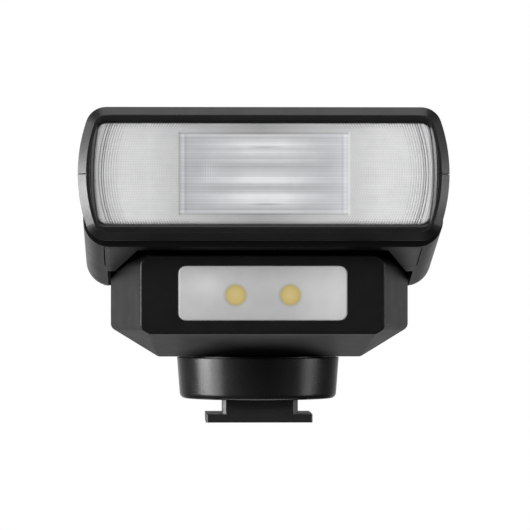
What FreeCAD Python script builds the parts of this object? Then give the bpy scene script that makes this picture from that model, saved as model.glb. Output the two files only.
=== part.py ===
# Speedlight flash: hot-shoe foot, swivelling base, faceted body with an LED lamp,
# and a tilting head with a wide Fresnel lens.
# Millimetres.  Origin: centre of the foot plate's bottom face.  +Z up, the front faces -Y.
import FreeCAD, Part
import os
import re
import Sketcher

os.makedirs("parts", exist_ok=True)
doc = FreeCAD.newDocument("speedlight")
sizes = doc.addObject("Spreadsheet::Sheet", "sizes")

DIMENSIONS = [
    # hot-shoe foot
    ("foot_width", 18.6), ("foot_thick", 1.45), ("foot_back", 6.2), ("foot_corner", 0.5),
    ("neck_left", 6.3), ("neck_right", 6.75), ("neck_left_cut", 0.5), ("neck_right_cut", 0.85),
    ("neck_top", 4.0), ("insulator_radius", 4.6),
    ("insulator_thick", 1.2), ("contact_radius", 1.6), ("small_contact_radius", 0.75),
    ("foot_screw_x", 5.0), ("foot_screw_front", -5.9), ("foot_screw_rear", 4.2),
    ("pin_y", -6.6), ("pin_radius", 1.0), ("running_fit", 0.05),
    # round base
    ("base_top", 11.2), ("base_top_radius", 14.3), ("base_low_radius", 13.75),
    ("base_fillet", 0.95), ("base_floor", 1.2), ("base_inner_radius", 12.4),
    ("spigot_radius", 8.0), ("spigot_top", 13.4), ("wire_bore", 5.0),
    ("lever_low", 6.2), ("lever_thick", 1.4), ("lever_radius", 10.5), ("post_radius", 3.0),
    ("lever_reach", 17.6), ("lever_angle", 22.5),
    # body case
    ("body_low", 11.54), ("body_half", 25.86), ("body_flat", 17.6), ("body_side_low", 16.6),
    ("body_side_top", 27.3), ("wall", 1.5), ("block_front", -10.0), ("block_back", 14.5),
    ("housing_front", -30.0), ("housing_half", 20.6), ("housing_low", 15.8),
    ("housing_high", 29.1), ("housing_corner", 1.5), ("housing_rear_top", 32.5),
    ("case_back", 39.0), ("panel_back", 41.0), ("case_top", 50.4), ("case_corner", 2.6),
    ("case_round", 1.3), ("rim_reach", 1.45), ("lobe_bottom", 23.8),
    # LED lamp
    ("window_width", 28.6), ("window_height", 9.27), ("window_z", 22.7), ("window_corner", 1.35),
    ("window_thick", 1.5), ("emitter_x", 4.63), ("emitter_z", 22.4), ("emitter_radius", 1.5),
    # tilt pivot
    ("pivot_y", -3.5), ("pivot_z", 37.0), ("tower_radius", 12.0), ("tower_half", 25.6),
    ("axle_radius", 4.0), ("cheek_inner", 26.3), ("lobe_radius", 13.2),
    ("room_radius", 12.6), ("room_rear", 5.3),
    # head
    ("head_front", -38.0), ("bezel_back", -33.0), ("head_middle", 42.69),
    ("bezel_half", 31.05), ("bezel_corner_half", 28.69), ("bezel_high", 53.83),
    ("bezel_low", 31.55), ("bezel_bow", 27.5), ("bezel_corner", 3.5), ("bezel_chamfer", 1.4),
    ("shell_half", 30.2), ("shell_top", 53.3), ("shell_round", 4.4), ("shell_arc", 16.3),
    ("underside_y", -33.6), ("underside_z", 30.5), ("tangent_y", -6.515), ("tangent_z", 24.147),
    ("tunnel_top", 33.7), ("tunnel_front", -31.2), ("tunnel_front_half", 21.1),
    ("cover_half", 26.62), ("cover_front", -32.8), ("cover_rear", -20.0), ("cover_top", 33.2),
    ("seam", 0.16), ("parting", 0.10), ("head_screw_x", 19.0), ("head_screw_y", -19.8),
    # flash lens and lamp
    ("lens_half", 28.35), ("lens_corner_half", 27.5), ("lens_high", 51.17),
    ("lens_low", 34.21), ("lens_bow", 42.7), ("lens_corner", 1.3), ("lens_face", -37.55),
    ("bezel_ring_back", -36.5), ("ring_flare", 0.4), ("lens_back", -35.3),
    ("lens_seat_floor", 34.9), ("reflector_half", 14.15), ("reflector_mouth", 6.85),
    ("tube_y", -25.8), ("tube_radius", 1.6),
    # battery compartment
    ("cell_radius", 5.25), ("cell_half", 22.25), ("cell_z", 22.6), ("cell_front_y", 22.2),
    ("cell_rear_y", 32.8), ("hinge_x", 25.0), ("hinge_z", 17.3), ("door_top", 28.6),
    # controls
    ("button_radius", 3.2), ("button_gap", 0.35), ("button_z", 41.0), ("button_x", 14.0),
    ("switch_z", 32.3), ("switch_travel", 3.0),
]
ALIASES = {alias for alias, value in DIMENSIONS}
for row, (alias, value) in enumerate(DIMENSIONS, 1):
    sizes.set(f"A{row}", alias)
    sizes.set(f"B{row}", str(value))
    sizes.setAlias(f"B{row}", alias)
doc.recompute()

WORD = re.compile(r"[A-Za-z_][A-Za-z0-9_]*")
TURN = {
    "x": FreeCAD.Rotation(FreeCAD.Vector(0, 1, 0), 90),
    "y": FreeCAD.Rotation(FreeCAD.Vector(1, 0, 0), -90),
    "z": FreeCAD.Rotation(),
}
NODES = []


def bind(item, prop, text):
    """Tie a property to an expression over the spreadsheet's aliases."""
    named = WORD.sub(lambda w: "sizes." + w.group() if w.group() in ALIASES else w.group(), str(text))
    item.setExpression(prop, named)


def number(text):
    """Value of an expression over the aliases, worked out by a spare cell."""
    sizes.set("D1", f"={text}")
    sizes.recompute()
    return float(sizes.get("D1"))


def move(item, start):
    for axis, text in zip("xyz", start):
        bind(item, f"Placement.Base.{axis}", text)


def box(name, xs, ys, zs):
    """Block between three (from, to) pairs."""
    item = doc.addObject("Part::Box", name)
    for prop, (first, last) in zip(("Length", "Width", "Height"), (xs, ys, zs)):
        bind(item, prop, f"({last}) - ({first})")
    move(item, (xs[0], ys[0], zs[0]))
    return item


def cylinder(name, radius, start, length, axis="z"):
    item = doc.addObject("Part::Cylinder", name)
    item.Placement = FreeCAD.Placement(FreeCAD.Vector(), TURN[axis])
    bind(item, "Radius", radius)
    bind(item, "Height", length)
    move(item, start)
    return item


def cone(name, low_radius, top_radius, start, height):
    item = doc.addObject("Part::Cone", name)
    bind(item, "Radius1", low_radius)
    bind(item, "Radius2", top_radius)
    bind(item, "Height", height)
    move(item, start)
    return item


def fuse(name, *items):
    item = doc.addObject("Part::MultiFuse", name)
    item.Shapes = list(items)
    item.Refine = True
    return item


def cut(name, base, *tools):
    item = doc.addObject("Part::Cut", name)
    item.Base = base
    item.Tool = tools[0] if len(tools) == 1 else fuse(name + "_tools", *tools)
    item.Refine = True
    return item


def common(name, *items):
    item = doc.addObject("Part::MultiCommon", name)
    item.Shapes = list(items)
    item.Refine = True
    return item


def group(name, *items):
    item = doc.addObject("Part::Compound", name)
    item.Links = list(items)
    return item


def mirrored(item):
    """The same shape on the other side of the centre plane."""
    twin = doc.addObject("Part::Mirroring", item.Name + "_twin")
    twin.Source = item
    twin.Normal = FreeCAD.Vector(1, 0, 0)
    return twin


def body_of(name):
    return doc.addObject("PartDesign::Body", name)


def outline(body, role, offset, path):
    """Closed sketch through the path's corners; a third entry is the radius of an arc
    that runs from that corner to the next and bulges away from the inside."""
    sketch = body.newObject("Sketcher::SketchObject", f"{body.Name}_outline")
    plane = next(item for item in body.Origin.OriginFeatures if item.Role == role)
    sketch.AttachmentSupport = [(plane, "")]
    sketch.MapMode = "FlatFace"
    bind(sketch, "AttachmentOffset.Base.z", offset)
    corners = [FreeCAD.Vector(number(p[0]), number(p[1]), 0) for p in path]
    ends = []
    for index, point in enumerate(path):
        first, last = corners[index], corners[(index + 1) % len(path)]
        if len(point) == 3:
            chord = last - first
            radius = number(point[2])
            rise = radius - (radius ** 2 - chord.Length ** 2 / 4) ** 0.5
            outward = FreeCAD.Vector(chord.y, -chord.x, 0).normalize()
            middle = (first + last) * 0.5 + outward * rise
            geometry = sketch.addGeometry(Part.Arc(first, middle, last))
            forward = (sketch.Geometry[geometry].StartPoint - first).Length < 0.001
            ends.append((geometry, 1, 2) if forward else (geometry, 2, 1))
            rule = sketch.addConstraint(Sketcher.Constraint("Radius", geometry, radius))
            bind(sketch, f"Constraints[{rule}]", point[2])
        else:
            ends.append((sketch.addGeometry(Part.LineSegment(first, last)), 1, 2))
    for index, (geometry, start, end) in enumerate(ends):
        follower = ends[(index + 1) % len(ends)]
        sketch.addConstraint(Sketcher.Constraint("Coincident", geometry, end, follower[0], follower[1]))
        for kind, value, text in (("DistanceX", corners[index].x, path[index][0]),
                                  ("DistanceY", corners[index].y, path[index][1])):
            rule = sketch.addConstraint(Sketcher.Constraint(kind, -1, 1, geometry, start, value))
            bind(sketch, f"Constraints[{rule}]", text)
    return sketch


def pad(body, sketch, length, side="One side"):
    feature = body.newObject("PartDesign::Pad", f"{body.Name}_pad")
    feature.Profile = sketch
    feature.SideType = side
    bind(feature, "Length", length)
    body.Tip = feature
    return body


def prism(name, role, offset, path, length, side="One side"):
    body = body_of(name)
    return pad(body, outline(body, role, offset, path), length, side)


def loft(name, sections):
    """Flat-faced solid between outlines given as (distance in front of the origin, path)."""
    holder = body_of(f"{name}_sections")
    skin = doc.addObject("Part::Loft", f"{name}_skin")
    skin.Sections = [outline(holder, "XZ_Plane", offset, path) for offset, path in sections]
    skin.Solid = True
    skin.Ruled = True
    skin.Linearize = True
    doc.recompute()
    body = body_of(name)
    body.BaseFeature = skin
    return body


def dress(body, kind, size, pick):
    """Fillet or Chamfer the edges of a body that pick accepts."""
    doc.recompute()
    base = body.Tip
    edges = [f"Edge{i}" for i, edge in enumerate(base.Shape.Edges, 1) if pick(edge)]
    feature = body.newObject(f"PartDesign::{kind}", f"{body.Name}_{kind.lower()}")
    feature.Base = (base, edges)
    bind(feature, "Radius" if kind == "Fillet" else "Size", size)
    body.Tip = feature
    return body


def centre(edge):
    return edge.BoundBox.Center


def along(edge, axis):
    """True for a straight edge parallel to an axis."""
    spans = {"x": edge.BoundBox.XLength, "y": edge.BoundBox.YLength, "z": edge.BoundBox.ZLength}
    return spans.pop(axis) > 0.01 and max(spans.values()) < 0.001


def node(name, item):
    item.Label = name
    NODES.append(item)
    return item


def mirror_path(right):
    """Closed path from the corners of its right-hand half, listed bottom to top."""
    left = [(f"-({p[0]})", p[1]) for p in reversed(right)]
    path = [tuple(p) for p in right] + left
    for index, point in enumerate(right[:-1]):
        if len(point) == 3:
            twin = 2 * len(right) - 2 - index
            path[twin] = path[twin] + (point[2],)
    return path


# ---------------------------------------------------------------- foot and round base
def shoe_foot():
    plate = prism("foot_plate", "XY_Plane", "0", mirror_path([
        ("foot_width/2", "-foot_width/2"), ("foot_width/2", "foot_back")]), "foot_thick")
    dress(plate, "Fillet", "foot_corner", lambda e: along(e, "z"))
    neck = prism("foot_neck", "XY_Plane", "foot_thick - 0.5", [
        ("neck_right - neck_right_cut", "-foot_width/2"), ("neck_right", "neck_right_cut - foot_width/2"),
        ("neck_right", "foot_back"), ("-neck_left", "foot_back"),
        ("-neck_left", "neck_left_cut - foot_width/2"), ("neck_left_cut - neck_left", "-foot_width/2")],
        "neck_top - foot_thick + 0.5")
    seat = cylinder("insulator_seat", "insulator_radius", ("0", "0.5", "0"), "insulator_thick")
    pin_hole = cylinder("pin_hole", "pin_radius + running_fit", ("0", "pin_y", "-1"), "6")
    holes = [cylinder("foot_screw_hole", "0.8", (x, y, "0.7"), "4")
             for x in ("-foot_screw_x", "foot_screw_x") for y in ("foot_screw_front", "foot_screw_rear")]
    sinks = [cylinder("foot_screw_sink", "1.4", (x, y, "-0.1"), "0.8")
             for x in ("-foot_screw_x", "foot_screw_x") for y in ("foot_screw_front", "foot_screw_rear")]
    node("shoe_foot", cut("shoe_foot", fuse("foot_blank", plate, neck), seat, pin_hole, *holes, *sinks))


def foot_screws():
    screws = []
    for x in ("-foot_screw_x", "foot_screw_x"):
        for y in ("foot_screw_front", "foot_screw_rear"):
            head = cylinder("foot_screw_head", "1.4", (x, y, "0"), "0.7")
            stem = cylinder("foot_screw_stem", "0.8", (x, y, "0.6"), "4.6")
            drive = box("foot_screw_drive", (f"{x} - 0.9", f"{x} + 0.9"), (f"{y} - 0.18", f"{y} + 0.18"),
                        ("-0.1", "0.35"))
            screws.append(cut("foot_screw", fuse("foot_screw_blank", head, stem), drive))
    node("shoe_foot_screws", group("shoe_foot_screws", *screws))


def shoe_contacts():
    disc = cylinder("insulator_disc", "insulator_radius", ("0", "0.5", "0"), "insulator_thick")
    spots = [("0", "0", "contact_radius"), ("-2.8", "3.1", "small_contact_radius"),
             ("2.8", "3.1", "small_contact_radius"), ("-2.8", "-2.1", "small_contact_radius"),
             ("2.8", "-2.1", "small_contact_radius")]
    holes = [cylinder("contact_hole", r, (x, y, "-1"), "4") for x, y, r in spots]
    node("contact_insulator", cut("contact_insulator", disc, *holes))
    studs = [cylinder("contact_stud", r, (x, y, "0"), "insulator_thick") for x, y, r in spots]
    node("shoe_contacts", group("shoe_contacts", *studs))


def swivel_base():
    drum = body_of("base_drum")
    sketch = outline(drum, "XZ_Plane", "0", [
        ("0", "neck_top"), ("base_low_radius", "neck_top"), ("base_top_radius", "base_top"),
        ("0", "base_top")])
    spin = drum.newObject("PartDesign::Revolution", "base_drum_spin")
    spin.Profile = sketch
    spin.ReferenceAxis = (sketch, ["V_Axis"])
    spin.Angle = 360
    drum.Tip = spin
    dress(drum, "Fillet", "base_fillet", lambda e: centre(e).z < 4.1 and e.BoundBox.XLength > 20)
    hollow = cylinder("base_hollow", "base_inner_radius", ("0", "0", "neck_top + base_floor"), "8")
    slot = box("lever_slot", ("-9.6", "9.6"), ("7.5", "16"), ("lever_low - 0.4", "lever_low + 2.5"))
    post = cylinder("lever_post", "post_radius", ("0", "0", "neck_top"), "4.2")
    bore = cylinder("post_bore", "1.7", ("0", "0", "3"), "6")
    pin_hole = cylinder("base_pin_hole", "pin_radius + running_fit", ("0", "pin_y", "3"), "3")
    holes = [cylinder("base_screw_hole", "0.8", (x, y, "3"), "3")
             for x in ("-foot_screw_x", "foot_screw_x") for y in ("foot_screw_front", "foot_screw_rear")]
    shell = fuse("base_shell", cut("base_cup", drum, hollow, slot), post)
    node("swivel_base", cut("swivel_base", shell, bore, pin_hole, *holes))
    cover = cylinder("cover_disc", "base_inner_radius", ("0", "0", "base_top - 1.3"), "1.3")
    spigot = cylinder("cover_spigot", "spigot_radius", ("0", "0", "base_top - 1.3"),
                      "spigot_top - base_top + 1.3")
    thrust = cylinder("cover_thrust_ring", "base_inner_radius - 0.3", ("0", "0", "base_top - 0.1"),
                      "body_low - 0.08 - base_top + 0.1")
    wires = cylinder("cover_bore", "wire_bore", ("0", "0", "9"), "6")
    node("swivel_base_cover", cut("swivel_base_cover", fuse("cover_blank", cover, thrust, spigot), wires))


def swivel_retainer():
    ring = cylinder("retainer_disc", "10", ("0", "0", "spigot_top"), "1")
    hole = cylinder("retainer_hole", "wire_bore", ("0", "0", "12"), "5")
    node("swivel_retaining_ring", cut("swivel_retaining_ring", ring, hole))
    heads = [cylinder("retainer_screw", "1.1", (f"6.6*cos({a})", f"6.6*sin({a})", "spigot_top + 1"), "0.6")
             for a in (30, 150, 270)]
    node("retaining_ring_screws", group("retaining_ring_screws", *heads))


def lock_lever():
    disc = cylinder("lever_disc", "lever_radius", ("0", "0", "lever_low"), "lever_thick")
    arm = box("lever_arm", ("-2.2", "2.2"), ("8", "lever_reach - 1"), ("lever_low", "lever_low + 1.9"))
    tab = box("lever_tab", ("-3.1", "3.1"), ("15.1", "lever_reach"), ("lever_low - 0.8", "lever_low + 2.7"))
    ribs = [box("lever_rib", (f"{x} - 0.25", f"{x} + 0.25"), ("lever_reach - 0.1", "lever_reach + 0.3"),
                ("lever_low - 0.5", "lever_low + 2.4")) for x in (-2, -1, 0, 1, 2)]
    blank = fuse("lever_blank", disc, arm, tab, *ribs)
    hole = cylinder("lever_hole", "post_radius + running_fit", ("0", "0", "5"), "5")
    ring = cut("cam_ring", cylinder("cam_outer", "8.9", ("0", "0", "5"), "5"),
               cylinder("cam_inner", "4.3", ("0", "0", "4"), "7"))
    sector = prism("cam_sector", "XY_Plane", "5", [("0", "0"), ("-10", "-14"), ("13.4", "-14")], "5")
    cam = common("cam_slot", ring, sector)
    lever = cut("lock_lever", blank, hole, cam)
    lever.Placement = FreeCAD.Placement(FreeCAD.Vector(), FreeCAD.Rotation(FreeCAD.Vector(0, 0, 1), 0))
    bind(lever, "Placement.Rotation.Angle", "lever_angle")
    node("lock_lever", lever)


def lock_pin():
    stem = cylinder("pin_stem", "pin_radius", ("0", "pin_y", "0.15"), "8.2")
    head = cylinder("pin_head", "2", ("0", "pin_y", "8.2"), "1")
    node("shoe_lock_pin", fuse("shoe_lock_pin", stem, head))


# ---------------------------------------------------------------- body case
LOW_SLOPE = "(body_side_low - body_low)/(body_half - body_flat)"
HIGH_SLOPE = "(housing_rear_top - body_side_top)/(body_half - body_flat)"


def section(inset, top, corner=None):
    """Faceted case section; corner shortens the top edge by that much."""
    shift = f"{inset}*sqrt(1 + ({LOW_SLOPE})^2)"
    side = f"body_half - {inset}"
    right = [
        (f"body_flat - ({shift} - {inset})/({LOW_SLOPE})", f"body_low + {inset}"),
        (side, f"body_side_low - {inset}*({LOW_SLOPE}) + {shift}"),
    ]
    if corner:
        right += [(side, f"{top} - {inset} - {corner}"), (f"{side} - {corner}", f"{top} - {inset}")]
    else:
        right += [(side, f"{top} - {inset}")]
    return mirror_path(right)


def housing_section(y_front, inset):
    """Front outline of the LED housing; its cut corners run parallel to the rear section's."""
    half = f"housing_half - {inset}"
    return (y_front, mirror_path([
        (f"{half} - housing_corner", f"housing_low + {inset}"),
        (half, f"housing_low + {inset} + housing_corner*{LOW_SLOPE}"),
        (half, f"housing_high - {inset} - housing_corner*{HIGH_SLOPE}"),
        (f"{half} - housing_corner", f"housing_high - {inset}")]))


def led_housing():
    rear = mirror_path([("body_flat", "body_low"), ("body_half", "body_side_low"),
                        ("body_half", "body_side_top"), ("body_flat", "housing_rear_top")])
    outer = loft("housing_outer", [housing_section("-housing_front", "0"), ("-block_front", rear)])
    dress(outer, "Fillet", "1.3", lambda e: e.BoundBox.YLength > 15)
    dress(outer, "Fillet", "0.35", lambda e: centre(e).y < -29.9 and e.BoundBox.YLength < 0.001)
    inner_rear = mirror_path([("body_flat - 0.4", "body_low + wall"),
                              ("body_half - wall", "body_side_low + 0.84"),
                              ("body_half - wall", "body_side_top - 0.7"),
                              ("body_flat - 0.4", "housing_rear_top - wall")])
    inner = loft("housing_inner", [housing_section("-housing_front - 1.6", "1.25"),
                                   ("-block_front - 0.2", inner_rear)])
    back = box("housing_back", ("-24", "24"), ("block_front - 0.4", "block_front + 1"),
               ("body_side_low + 1", "body_side_top - 1"))
    opening = rounded_plate("window_opening", "window_width/2", "window_height/2", "window_z",
                            "-housing_front + 1", "4", "window_corner")
    tower = cylinder("tower_front", "tower_radius", ("-tower_half - 1", "pivot_y", "pivot_z"),
                     "2*tower_half + 2", "x")
    node("led_housing", cut("led_housing", outer, inner, back, opening, tower))


def rounded_plate(name, half_width, half_height, z, front, thick, corner):
    """Upright plate with rounded corners; front is the distance of its face toward the viewer."""
    plate = prism(name, "XZ_Plane", f"{front} - ({thick})", mirror_path([
        (half_width, f"{z} - {half_height}"), (half_width, f"{z} + {half_height}")]), thick)
    return dress(plate, "Fillet", corner, lambda e: along(e, "y"))


def led_lamp():
    node("led_window", rounded_plate("led_window_plate", "window_width/2", "window_height/2",
                                     "window_z", "-housing_front", "window_thick", "window_corner"))
    tray = rounded_plate("tray_outer", "window_width/2", "window_height/2", "window_z",
                         "-housing_front - window_thick", "4.2", "window_corner")
    bowl = rounded_plate("tray_bowl", "window_width/2 - 0.7", "window_height/2 - 0.7", "window_z",
                         "-housing_front - window_thick + 1", "4.4", "window_corner - 0.6")
    holes = [cylinder("emitter_hole", "emitter_radius + 0.1", (x, "-26", "emitter_z"), "4", "y")
             for x in ("-emitter_x", "emitter_x")]
    node("led_reflector_tray", cut("led_reflector_tray", tray, bowl, *holes))
    node("led_board", box("led_board", ("-16", "16"), ("-24.3", "-23.1"),
                          ("window_z - 5.4", "window_z + 5.2")))
    lamps = [cylinder("led_emitter", "emitter_radius", (x, "-25.6", "emitter_z"), "1.3", "y")
             for x in ("-emitter_x", "emitter_x")]
    node("led_emitters", group("led_emitters", *lamps))


def body_front_shell():
    block = prism("block_outer", "XZ_Plane", "-block_back", section("0", "body_side_top"),
                  "block_back - block_front")
    dress(block, "Fillet", "case_round", lambda e: along(e, "y"))
    tower = cylinder("tower_outer", "tower_radius", ("-tower_half", "pivot_y", "pivot_z"),
                     "2*tower_half", "x")
    hollow = prism("block_hollow", "XZ_Plane", "-block_back - 1", section("wall", "body_side_top"),
                   "block_back - block_front + 2")
    drum = cylinder("tower_hollow", "tower_radius - 1.6", ("-tower_half + 1.6", "pivot_y", "pivot_z"),
                    "2*tower_half - 3.2", "x")
    swivel = cylinder("swivel_hole", "spigot_radius + running_fit", ("0", "0", "10"), "4")
    axles = cylinder("axle_holes", "axle_radius", ("-tower_half - 1", "pivot_y", "pivot_z"),
                     "2*tower_half + 2", "x")
    shell = fuse("front_shell_blank", block, tower)
    node("body_front_shell", cut("body_front_shell", shell, hollow, drum, swivel, axles))


def tilt_axles():
    stub = cylinder("axle_stub", "axle_radius", ("tower_half - 4", "pivot_y", "pivot_z"), "7.1", "x")
    flange = cylinder("axle_flange", "axle_radius + 2", ("tower_half - 3", "pivot_y", "pivot_z"), "1.4", "x")
    bore = cylinder("axle_bore", "2.2", ("tower_half - 5", "pivot_y", "pivot_z"), "9", "x")
    axle = cut("axle", fuse("axle_blank", stub, flange), bore)
    node("tilt_axles", group("tilt_axles", axle, mirrored(axle)))


def body_rear_shell():
    outer = prism("rear_outer", "XZ_Plane", "-case_back", section("0", "case_top", "case_corner"),
                  "case_back - block_back")
    dress(outer, "Fillet", "case_round", lambda e: along(e, "y") and centre(e).z < 18)
    dress(outer, "Fillet", "1.2", lambda e: centre(e).z > 28 and e.BoundBox.YLength < 0.001
          and centre(e).y < 15)
    hollow = prism("rear_hollow", "XZ_Plane", "-case_back - 1", section("wall", "case_top", "case_corner"),
                   "case_back - block_back - wall + 1")
    mouth = prism("rear_mouth", "XZ_Plane", "-block_back - wall - 1", section("wall", "body_side_top"),
                  "wall + 2")
    door = box("door_opening", ("body_half - wall - 2", "body_half + 1"), ("16.7", "38.5"),
               ("hinge_z + 0.6", "door_top + 0.3"))
    notch = box("hinge_notch", ("body_half - wall - 2", "body_half + 1"), ("19.6", "35.4"),
                ("hinge_z - 1.25", "hinge_z + 1"))
    pin = cylinder("hinge_pin_hole", "0.4", ("hinge_x", "16.2", "hinge_z"), "22.5", "y")
    posts = []
    bores = []
    for x, z in (("21.3", "46.2"), ("-21.3", "46.2"), ("16.6", "14.2"), ("-16.6", "14.2")):
        posts.append(cylinder("panel_post", "1.9", (x, "block_back + 0.5", z),
                              "case_back - block_back - 0.5", "y"))
        bores.append(cylinder("panel_post_bore", "0.8", (x, "case_back - 8", z), "9", "y"))
    rim = box("case_rim", ("body_half - 1", "body_half + rim_reach"),
              ("block_back", "block_back + 1.6"), ("lobe_bottom", "45"))
    rims = [rim, mirrored(rim)]
    shell = fuse("rear_shell_blank", cut("rear_shell_hollow", outer, hollow, mouth), *rims, *posts)
    node("body_rear_shell", cut("body_rear_shell", shell, door, notch, pin, *bores))


def panel_screws():
    screws = []
    for x, z in (("21.3", "46.2"), ("-21.3", "46.2"), ("16.6", "14.2"), ("-16.6", "14.2")):
        head = cylinder("panel_screw_head", "1.4", (x, "panel_back - 1", z), "0.8", "y")
        stem = cylinder("panel_screw_stem", "0.8", (x, "case_back - 7.5", z), "9", "y")
        drive = box("panel_screw_drive", (f"{x} - 0.9", f"{x} + 0.9"), ("panel_back - 0.55", "panel_back"),
                    (f"{z} - 0.2", f"{z} + 0.2"))
        screws.append(cut("panel_screw", fuse("panel_screw_blank", head, stem), drive))
    node("rear_panel_screws", group("rear_panel_screws", *screws))


def rear_panel():
    plate = prism("panel_plate", "XZ_Plane", "-panel_back", section("0", "case_top", "case_corner"),
                  "panel_back - case_back")
    dress(plate, "Fillet", "case_round", lambda e: along(e, "y") and centre(e).z < 18)
    dress(plate, "Chamfer", "0.7", lambda e: centre(e).y > 40.9 and e.BoundBox.YLength < 0.001)
    buttons = [cylinder("button_hole", "button_radius + button_gap", (x, "case_back - 1", "button_z"),
                        "4", "y") for x in ("-button_x", "0", "button_x")]
    slot = box("switch_slot", ("-5.4 - switch_travel", "5.4"), ("case_back - 1", "panel_back + 1"),
               ("switch_z - 2.1", "switch_z + 2.1"))
    lamps = [cylinder("lamp_hole", "1.1", (x, "case_back - 1", "button_z + 5.6"), "4", "y")
             for x in ("-14", "0", "14")]
    holes = []
    for x, z in (("21.3", "46.2"), ("-21.3", "46.2"), ("16.6", "14.2"), ("-16.6", "14.2")):
        holes.append(cylinder("panel_hole", "0.8", (x, "case_back - 1", z), "4", "y"))
        holes.append(cylinder("panel_sink", "1.4", (x, "panel_back - 1", z), "2", "y"))
    node("rear_panel", cut("rear_panel", plate, slot, *buttons, *lamps, *holes))
    lights = [cylinder("status_lamp", "1.1", (x, "case_back - 1", "button_z + 5.6"), "3.1", "y")
              for x in ("-14", "0", "14")]
    node("status_lamps", group("status_lamps", *lights))


def controls():
    for name, x in (("test_button", "-button_x"), ("mode_button", "0"), ("led_button", "button_x")):
        cap = cylinder(f"{name}_cap", "button_radius", (x, "case_back + 0.3", "button_z"), "2.5", "y")
        lip = cylinder(f"{name}_stem", "1.5", (x, "case_back - 0.9", "button_z"), "1.3", "y")
        dish = cylinder(f"{name}_dish", "2.2", (x, "panel_back + 0.6", "button_z"), "1", "y")
        node(name, cut(name, fuse(f"{name}_blank", cap, lip), dish))
    knob = box("switch_knob", ("-5", "-0.2"), ("case_back - 0.6", "panel_back + 1"),
               ("switch_z - 1.7", "switch_z + 1.7"))
    skirt = box("switch_skirt", ("-6", "0.8"), ("case_back - 1.4", "case_back - 0.4"),
                ("switch_z - 2.8", "switch_z + 2.8"))
    grooves = [box("switch_groove", (f"{x}", f"{x} + 0.5"), ("panel_back + 0.6", "panel_back + 2"),
                   ("switch_z - 2", "switch_z + 2")) for x in (-4.2, -3.2, -2.2, -1.2)]
    node("power_switch_knob", cut("power_switch_knob", fuse("switch_blank", knob, skirt), *grooves))


def electronics():
    node("switch_board", box("switch_board", ("-18.8", "18.8"), ("35.4", "36.6"), ("34.6", "45.6")))
    domes = [box("tact_switch", (f"{x} - 2.2", f"{x} + 2.2"), ("36.6", "37.25"),
                 ("button_z - 2.2", "button_z + 2.2")) for x in ("-button_x", "0", "button_x")]
    node("tactile_switches", group("tactile_switches", *domes))
    node("main_circuit_board", box("main_board", ("-19", "19"), ("31.6", "32.8"), ("30.2", "47.5")))
    chips = [("-18", "-10", "38", "46"), ("-6", "-1", "40", "45"), ("3", "9", "36", "41"),
             ("12", "19", "39", "43")]
    parts = [box("chip", (a, b), ("32.8", "34.2"), (c, d)) for a, b, c, d in chips]
    node("board_components", group("board_components", *parts))
    can = cylinder("capacitor_can", "6.4", ("-19", "23.6", "40.4"), "36", "x")
    leads = cylinder("capacitor_seal", "5.4", ("17", "23.6", "40.4"), "0.8", "x")
    node("flash_capacitor", fuse("flash_capacitor", can, leads))
    core = box("transformer_core", ("12", "22"), ("-8", "3"), ("17.6", "25.4"))
    coil = box("transformer_coil", ("10.6", "23.4"), ("-6.4", "1.4"), ("19", "24"))
    node("charging_transformer", fuse("charging_transformer", core, coil))


def batteries():
    cells = []
    for y in ("cell_front_y", "cell_rear_y"):
        can = cylinder("cell_can", "cell_radius", ("-cell_half", y, "cell_z"), "2*cell_half - 1", "x")
        tip = cylinder("cell_tip", "1.8", ("cell_half - 1.1", y, "cell_z"), "1.1", "x")
        cells.append(fuse("cell", can, tip))
    node("aaa_cells", group("aaa_cells", *cells))
    outer = box("tray_block", ("-22.5", "22.5"), ("16.1", "38.9"), ("16.4", "29"))
    inner = box("tray_space", ("-24", "24"), ("16.9", "38.1"), ("17.2", "28.2"))
    node("battery_tray", cut("battery_tray", outer, inner))
    plates = []
    for y in ("cell_front_y", "cell_rear_y"):
        plates.append(fuse("terminal", box("terminal_plate", ("-24.2", "-23.8"), (f"{y} - 4.5", f"{y} + 4.5"),
                                           ("18.4", "27")),
                           cone("terminal_spring", "3.2", "2.2", ("0", "0", "0"), "1.55")))
        spring = plates[-1].Shapes[1]
        spring.Placement = FreeCAD.Placement(FreeCAD.Vector(), TURN["x"])
        move(spring, ("-23.8", y, "cell_z"))
    node("battery_spring_terminals", group("battery_spring_terminals", *plates))


def battery_door():
    leaf = box("door_leaf", ("body_half - wall", "body_half"), ("17", "38.2"), ("hinge_z + 1.4", "door_top"))
    tongue = box("door_tongue", ("body_half - wall", "body_half"), ("20", "35"), ("hinge_z", "hinge_z + 2"))
    knuckle = cylinder("door_knuckle", "0.86", ("hinge_x", "20", "hinge_z"), "15", "y")
    bore = cylinder("door_bore", "0.4 + running_fit", ("hinge_x", "19", "hinge_z"), "17", "y")
    grip = [box("door_grip", ("body_half - 0.4", "body_half + 1"), ("23", "32"), (z, f"{z} + 0.6"))
            for z in ("24.6", "25.8", "27")]
    node("battery_door", cut("battery_door", fuse("door_blank", leaf, tongue, knuckle), bore, *grip))
    strip = box("door_strip", ("body_half - wall - 0.5", "body_half - wall"), ("18.5", "36.5"),
                ("20.2", "25"))
    pads = [box("door_pad", ("22.6", "body_half - wall - 0.4"), (f"{y} - 1.5", f"{y} + 1.5"),
                ("21.2", "24")) for y in ("cell_front_y", "cell_rear_y")]
    node("door_contact_plate", fuse("door_contact_plate", strip, *pads))
    node("door_hinge_pin", cylinder("door_hinge_pin", "0.4", ("hinge_x", "16.2", "hinge_z"), "22.5", "y"))


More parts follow.
